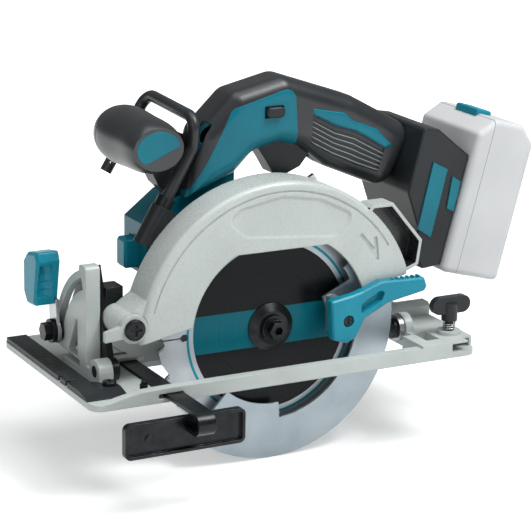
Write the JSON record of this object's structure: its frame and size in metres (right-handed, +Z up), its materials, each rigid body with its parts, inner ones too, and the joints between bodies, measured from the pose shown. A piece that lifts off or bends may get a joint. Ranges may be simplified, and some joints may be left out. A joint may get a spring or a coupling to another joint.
{
  "type": "circular saw",
  "caption": "Cordless circular saw on a tilting base, with a toothed blade in upper and swinging lower guards, motor, grip handles, battery and rip fence.",
  "frame": {"origin": "point of the sole straight below the spindle, in the middle plane of the blade", "axes": "+X to the rear, +Y across to the motor side, +Z up from the sole"},
  "size_m": [0.3456, 0.2025, 0.2545],
  "materials": {
    "cast": "pale grey paint over a light-metal die casting",
    "steel": "bare steel",
    "blade": "ground steel disc",
    "guard": "satin sheet",
    "black": "moulded glass-filled plastic",
    "teal": "moulded plastic, fine grain",
    "light": "moulded plastic",
    "rubber": "soft overmould",
    "blacksteel": "black oxide",
    "pack": "pale grey moulded plastic",
    "copper": "wound wire and plated contacts",
    "cells": "cell cans, whose mean density is near that of aluminium",
    "board": "potted board"
  },
  "bodies": {
    "base": {"base_plate": "cast", "front_scale": "black", "bevel_quadrant": "cast", "bevel_pins": "blacksteel", "base_screws": "blacksteel", "knob_spring": "steel"},
    "rip_fence": {"fence_bar": "blacksteel", "fence_plate": "blacksteel"},
    "wing_clamp": {"wing_knob": "black"},
    "tilt_frame": {"tilt_bracket": "blacksteel", "bevel_bolt": "blacksteel", "depth_pivot_screw": "steel", "pivot_washer": "cast", "depth_guide": "steel"},
    "bevel_clamp": {"bevel_lever_arm": "steel", "bevel_lever": "light"},
    "saw_body": {"upper_guard": "cast", "gear_housing": "cast", "bearing_plate": "cast", "ball_bearings": "steel", "motor_housing": "teal", "motor_end_cap": "black", "stator": "copper", "handle_shell_near": "teal", "handle_shell_far": "teal", "rubber_grip": "rubber", "motor_cowl": "teal", "shell_screws": "blacksteel", "switch_unit": "black", "controller_board": "board", "battery_mount": "black", "terminal_block": "copper", "trim_plates": "teal", "front_grip": "rubber", "grip_insert": "teal", "grip_stalk": "black", "hook_holder": "black", "hook_bush": "steel", "depth_stud": "steel", "guard_spring": "steel"},
    "depth_clamp": {"depth_lever": "light"},
    "trigger_key": {"trigger": "black"},
    "lock_off": {"lock_off_button": "black"},
    "shaft_lock": {"shaft_lock_button": "light"},
    "hang_hook": {"hook": "rubber"},
    "blade_set": {"saw_blade": "blade", "inner_flange": "steel", "outer_flange": "blacksteel", "arbor_bolt": "blacksteel", "spindle": "steel", "drive_gear": "steel"},
    "motor_rotor": {"rotor_shaft": "steel", "rotor_core": "steel", "cooling_fan": "black"},
    "swing_guard": {"lower_guard": "guard", "guard_lever": "light", "guard_lever_screw": "blacksteel"},
    "battery": {"battery_case": "pack", "battery_cells": "cells"},
    "battery_latch": {"battery_button": "light"}
  },
  "joints": [
    {"name": "fence_slide", "type": "slide", "parent": "base", "child": "rip_fence", "axis": [0, -1, 0], "range_m": [-0.02, 0.03]},
    {"name": "wing_turn", "type": "hinge", "parent": "base", "child": "wing_clamp", "pos_m": [0.126, -0.025, 0.022], "axis": [0, 0, 1], "range_deg": [0, 90]},
    {"name": "bevel_tilt", "type": "hinge", "parent": "base", "child": "tilt_frame", "pos_m": [0, -0.002, 0.012], "axis": [1, 0, 0], "range_deg": [0, 50]},
    {"name": "bevel_lever_turn", "type": "hinge", "parent": "tilt_frame", "child": "bevel_clamp", "pos_m": [-0.132, 0.05354, 0.02482], "axis": [1, 0, 0], "range_deg": [0, 40]},
    {"name": "depth_swing", "type": "hinge", "parent": "tilt_frame", "child": "saw_body", "pos_m": [-0.107, 0, 0.042], "axis": [0, -1, 0], "range_deg": [0, 30]},
    {"name": "depth_lever_turn", "type": "hinge", "parent": "saw_body", "child": "depth_clamp", "pos_m": [0.05239, 0.021, 0.02806], "axis": [0, -1, 0], "range_deg": [0, 35]},
    {"name": "blade_spin", "type": "hinge", "parent": "saw_body", "child": "blade_set", "pos_m": [0, 0, 0.0255], "axis": [0, 1, 0], "continuous": true},
    {"name": "rotor_spin", "type": "hinge", "parent": "saw_body", "child": "motor_rotor", "pos_m": [-0.01078, 0, 0.0409], "axis": [0, 1, 0], "continuous": true},
    {"name": "guard_swing", "type": "hinge", "parent": "saw_body", "child": "swing_guard", "pos_m": [0, 0, 0.0255], "axis": [0, -1, 0], "range_deg": [0, 100], "stiffness_Nm_per_rad": 0.15, "springref_deg": -80.21},
    {"name": "trigger_pull", "type": "hinge", "parent": "saw_body", "child": "trigger_key", "pos_m": [0.037, 0.03, 0.147], "axis": [0, 1, 0], "range_deg": [0, 6], "stiffness_Nm_per_rad": 1, "springref_deg": -5.73},
    {"name": "lock_off_push", "type": "slide", "parent": "saw_body", "child": "lock_off", "axis": [0, 1, 0], "range_m": [-0.003, 0.003], "stiffness_N_per_m": 600},
    {"name": "shaft_lock_push", "type": "slide", "parent": "saw_body", "child": "shaft_lock", "axis": [1, 0, 0], "range_m": [0, 0.005], "stiffness_N_per_m": 800, "springref_m": -0.002},
    {"name": "hook_turn", "type": "hinge", "parent": "saw_body", "child": "hang_hook", "pos_m": [-0.084, 0.0195, 0.086], "axis": [0.5021, 0, 0.8648], "range_deg": [0, 17]},
    {"name": "battery_slide", "type": "slide", "parent": "saw_body", "child": "battery", "axis": [0.2588, 0, 0.9659], "range_m": [0, 0.075]},
    {"name": "battery_release", "type": "slide", "parent": "battery", "child": "battery_latch", "axis": [-0.2588, 0, -0.9659], "range_m": [0, 0.0025], "stiffness_N_per_m": 900, "springref_m": -0.002}
  ],
  "couplings": [
    {"joint": "rotor_spin", "follows": "blade_spin", "ratio": -3.7}
  ]
}
